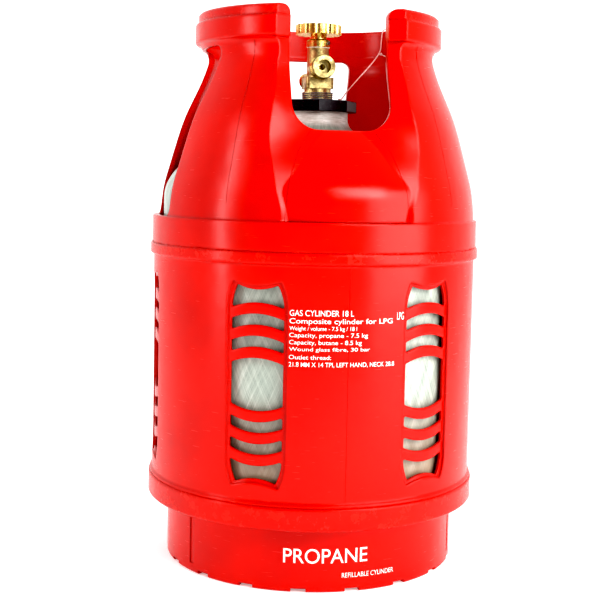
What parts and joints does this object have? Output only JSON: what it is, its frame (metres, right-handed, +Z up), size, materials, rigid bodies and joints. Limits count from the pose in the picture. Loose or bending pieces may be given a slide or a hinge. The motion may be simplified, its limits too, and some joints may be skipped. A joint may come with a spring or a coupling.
{
  "type": "propane tank",
  "caption": "Composite LPG cylinder: wound glass-fibre vessel in a red slotted plastic casing with carrying collar, foot ring and a brass handwheel valve",
  "frame": {"origin": "centre of the foot ring, on the floor", "axes": "+Z up along the vessel axis; -Y is the front, where the valve outlet points and the collar is open"},
  "size_m": [0.306, 0.306, 0.5032],
  "materials": {
    "red_hdpe": "glossy moulded HDPE, pigmented red",
    "glass_fibre": "filament-wound glass fibre in clear epoxy, satin",
    "liner_hdpe": "natural blow-moulded HDPE, satin",
    "brass_body": "hot-forged brass, aged satin",
    "brass_bright": "machined brass, bright",
    "black_steel": "steel with black coating, scratched",
    "zinc_steel": "zinc-plated steel, satin",
    "spring_steel": "stainless spring wire, drawn",
    "nitrile": "black nitrile rubber, moulded",
    "nylon_seat": "natural nylon, machined",
    "nylon_cord": "twisted nylon string"
  },
  "bodies": {
    "tank": {"upper_casing": "red_hdpe", "mid_casing": "red_hdpe", "foot_base": "red_hdpe", "composite_shell": "glass_fibre", "liner": "liner_hdpe", "neck_boss": "brass_body", "tail_boss": "liner_hdpe", "neck_ring": "black_steel", "valve_body": "brass_body", "bonnet_washer": "nylon_seat", "bonnet": "brass_bright", "bonnet_lock_screw": "zinc_steel", "spindle_orings": "nitrile", "relief_cap": "brass_bright", "relief_spring": "spring_steel", "tether_cord": "nylon_cord", "tether_knots": "nylon_cord"},
    "handwheel": {"handwheel": "brass_bright", "spindle": "brass_bright", "handwheel_washer": "zinc_steel", "handwheel_screw": "zinc_steel"},
    "seat": {"seat_carrier": "brass_bright", "seat_disc": "nylon_seat"},
    "relief": {"relief_poppet": "brass_bright", "relief_seal": "nitrile"}
  },
  "joints": [
    {"name": "handwheel_turn", "type": "hinge", "parent": "tank", "child": "handwheel", "pos_m": [0, 0, 0.48], "axis": [0, 0, 1], "range_deg": [0, 600]},
    {"name": "seat_lift", "type": "slide", "parent": "tank", "child": "seat", "axis": [0, 0, 1], "range_m": [0, 0.0025], "stiffness_N_per_m": 0.2, "springref_m": 0.32},
    {"name": "relief_pop", "type": "slide", "parent": "tank", "child": "relief", "axis": [-0.3746, 0.9272, 0], "range_m": [0, 0.0012], "stiffness_N_per_m": 3000, "springref_m": -0.0005, "deforming": ["relief_spring"]}
  ],
  "couplings": [
    {"joint": "seat_lift", "follows": "handwheel_turn", "m_per_rad": 0.00023873}
  ]
}
